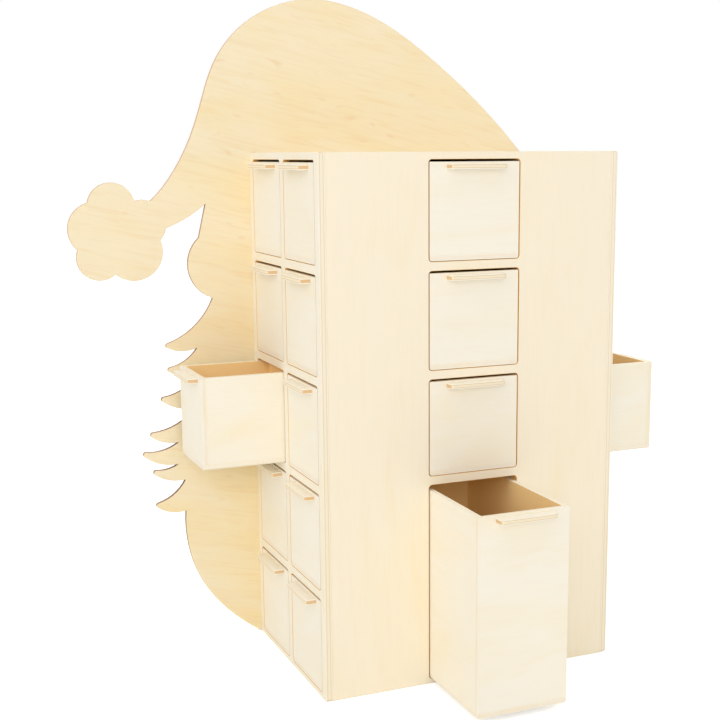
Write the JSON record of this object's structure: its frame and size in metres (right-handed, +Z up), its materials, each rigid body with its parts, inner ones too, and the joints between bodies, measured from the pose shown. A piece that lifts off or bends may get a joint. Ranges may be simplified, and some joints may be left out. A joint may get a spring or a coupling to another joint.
{
  "type": "wooden advent calendar",
  "caption": "Plywood advent calendar: a free-standing cabinet with small sliding drawers in its front and sides, fixed to a backboard cut as a bearded head in a floppy hat.",
  "frame": {"origin": "middle of the cabinet's flat underside, on the surface that it stands on", "axes": "+Z up, -Y toward the viewer of the front drawers, +X to that viewer's right"},
  "size_m": [0.3603, 0.189, 0.39],
  "materials": {
    "cabinet_plywood": "bare sanded plywood",
    "drawer_plywood": "bare sanded plywood",
    "backboard_plywood": "bare sanded plywood, laser-cut edge"
  },
  "bodies": {
    "cabinet": {"backboard": "backboard_plywood", "left_side_panel": "cabinet_plywood", "right_side_panel": "cabinet_plywood", "front_panel": "cabinet_plywood", "top_panel": "cabinet_plywood", "bottom_panel": "cabinet_plywood", "left_partition": "cabinet_plywood", "right_partition": "cabinet_plywood", "left_shelves": "cabinet_plywood", "right_shelves": "cabinet_plywood", "centre_shelves": "cabinet_plywood", "column_dividers": "cabinet_plywood"},
    "left_row1_front_drawer": {"left_row1_front_drawer": "drawer_plywood", "left_row1_front_pull": "drawer_plywood"},
    "left_row1_back_drawer": {"left_row1_back_drawer": "drawer_plywood", "left_row1_back_pull": "drawer_plywood"},
    "left_row2_front_drawer": {"left_row2_front_drawer": "drawer_plywood", "left_row2_front_pull": "drawer_plywood"},
    "left_row2_back_drawer": {"left_row2_back_drawer": "drawer_plywood", "left_row2_back_pull": "drawer_plywood"},
    "left_row3_front_drawer": {"left_row3_front_drawer": "drawer_plywood", "left_row3_front_pull": "drawer_plywood"},
    "left_row3_back_drawer": {"left_row3_back_drawer": "drawer_plywood", "left_row3_back_pull": "drawer_plywood"},
    "left_row4_front_drawer": {"left_row4_front_drawer": "drawer_plywood", "left_row4_front_pull": "drawer_plywood"},
    "left_row4_back_drawer": {"left_row4_back_drawer": "drawer_plywood", "left_row4_back_pull": "drawer_plywood"},
    "left_row5_front_drawer": {"left_row5_front_drawer": "drawer_plywood", "left_row5_front_pull": "drawer_plywood"},
    "left_row5_back_drawer": {"left_row5_back_drawer": "drawer_plywood", "left_row5_back_pull": "drawer_plywood"},
    "right_row1_front_drawer": {"right_row1_front_drawer": "drawer_plywood", "right_row1_front_pull": "drawer_plywood"},
    "right_row1_back_drawer": {"right_row1_back_drawer": "drawer_plywood", "right_row1_back_pull": "drawer_plywood"},
    "right_row2_front_drawer": {"right_row2_front_drawer": "drawer_plywood", "right_row2_front_pull": "drawer_plywood"},
    "right_row2_back_drawer": {"right_row2_back_drawer": "drawer_plywood", "right_row2_back_pull": "drawer_plywood"},
    "right_row3_front_drawer": {"right_row3_front_drawer": "drawer_plywood", "right_row3_front_pull": "drawer_plywood"},
    "right_row3_back_drawer": {"right_row3_back_drawer": "drawer_plywood", "right_row3_back_pull": "drawer_plywood"},
    "right_row4_front_drawer": {"right_row4_front_drawer": "drawer_plywood", "right_row4_front_pull": "drawer_plywood"},
    "right_row4_back_drawer": {"right_row4_back_drawer": "drawer_plywood", "right_row4_back_pull": "drawer_plywood"},
    "right_row5_front_drawer": {"right_row5_front_drawer": "drawer_plywood", "right_row5_front_pull": "drawer_plywood"},
    "right_row5_back_drawer": {"right_row5_back_drawer": "drawer_plywood", "right_row5_back_pull": "drawer_plywood"},
    "centre_row1_drawer": {"centre_row1_drawer": "drawer_plywood", "centre_row1_pull": "drawer_plywood"},
    "centre_row2_drawer": {"centre_row2_drawer": "drawer_plywood", "centre_row2_pull": "drawer_plywood"},
    "centre_row3_drawer": {"centre_row3_drawer": "drawer_plywood", "centre_row3_pull": "drawer_plywood"},
    "centre_tall_drawer": {"centre_tall_drawer": "drawer_plywood", "centre_tall_pull": "drawer_plywood"}
  },
  "joints": [
    {"name": "left_row1_front_slide", "type": "slide", "parent": "cabinet", "child": "left_row1_front_drawer", "axis": [-1, 0, 0], "range_m": [0, 0.0495]},
    {"name": "left_row1_back_slide", "type": "slide", "parent": "cabinet", "child": "left_row1_back_drawer", "axis": [-1, 0, 0], "range_m": [0, 0.0495]},
    {"name": "left_row2_front_slide", "type": "slide", "parent": "cabinet", "child": "left_row2_front_drawer", "axis": [-1, 0, 0], "range_m": [0, 0.0495]},
    {"name": "left_row2_back_slide", "type": "slide", "parent": "cabinet", "child": "left_row2_back_drawer", "axis": [-1, 0, 0], "range_m": [0, 0.0495]},
    {"name": "left_row3_front_slide", "type": "slide", "parent": "cabinet", "child": "left_row3_front_drawer", "axis": [-1, 0, 0], "range_m": [0, 0.0495]},
    {"name": "left_row3_back_slide", "type": "slide", "parent": "cabinet", "child": "left_row3_back_drawer", "axis": [-1, 0, 0], "range_m": [-0.0485, 0.001]},
    {"name": "left_row4_front_slide", "type": "slide", "parent": "cabinet", "child": "left_row4_front_drawer", "axis": [-1, 0, 0], "range_m": [0, 0.0495]},
    {"name": "left_row4_back_slide", "type": "slide", "parent": "cabinet", "child": "left_row4_back_drawer", "axis": [-1, 0, 0], "range_m": [0, 0.0495]},
    {"name": "left_row5_front_slide", "type": "slide", "parent": "cabinet", "child": "left_row5_front_drawer", "axis": [-1, 0, 0], "range_m": [0, 0.0495]},
    {"name": "left_row5_back_slide", "type": "slide", "parent": "cabinet", "child": "left_row5_back_drawer", "axis": [-1, 0, 0], "range_m": [0, 0.0495]},
    {"name": "right_row1_front_slide", "type": "slide", "parent": "cabinet", "child": "right_row1_front_drawer", "axis": [1, 0, 0], "range_m": [0, 0.0495]},
    {"name": "right_row1_back_slide", "type": "slide", "parent": "cabinet", "child": "right_row1_back_drawer", "axis": [1, 0, 0], "range_m": [0, 0.0495]},
    {"name": "right_row2_front_slide", "type": "slide", "parent": "cabinet", "child": "right_row2_front_drawer", "axis": [1, 0, 0], "range_m": [0, 0.0495]},
    {"name": "right_row2_back_slide", "type": "slide", "parent": "cabinet", "child": "right_row2_back_drawer", "axis": [1, 0, 0], "range_m": [0, 0.0495]},
    {"name": "right_row3_front_slide", "type": "slide", "parent": "cabinet", "child": "right_row3_front_drawer", "axis": [1, 0, 0], "range_m": [-0.032, 0.0175]},
    {"name": "right_row3_back_slide", "type": "slide", "parent": "cabinet", "child": "right_row3_back_drawer", "axis": [1, 0, 0], "range_m": [0, 0.0495]},
    {"name": "right_row4_front_slide", "type": "slide", "parent": "cabinet", "child": "right_row4_front_drawer", "axis": [1, 0, 0], "range_m": [0, 0.0495]},
    {"name": "right_row4_back_slide", "type": "slide", "parent": "cabinet", "child": "right_row4_back_drawer", "axis": [1, 0, 0], "range_m": [0, 0.0495]},
    {"name": "right_row5_front_slide", "type": "slide", "parent": "cabinet", "child": "right_row5_front_drawer", "axis": [1, 0, 0], "range_m": [0, 0.0495]},
    {"name": "right_row5_back_slide", "type": "slide", "parent": "cabinet", "child": "right_row5_back_drawer", "axis": [1, 0, 0], "range_m": [0, 0.0495]},
    {"name": "centre_row1_slide", "type": "slide", "parent": "cabinet", "child": "centre_row1_drawer", "axis": [0, -1, 0], "range_m": [0, 0.1078]},
    {"name": "centre_row2_slide", "type": "slide", "parent": "cabinet", "child": "centre_row2_drawer", "axis": [0, -1, 0], "range_m": [0, 0.1078]},
    {"name": "centre_row3_slide", "type": "slide", "parent": "cabinet", "child": "centre_row3_drawer", "axis": [0, -1, 0], "range_m": [0, 0.1078]},
    {"name": "centre_tall_slide", "type": "slide", "parent": "cabinet", "child": "centre_tall_drawer", "axis": [0, -1, 0], "range_m": [-0.06, 0.0478]}
  ]
}
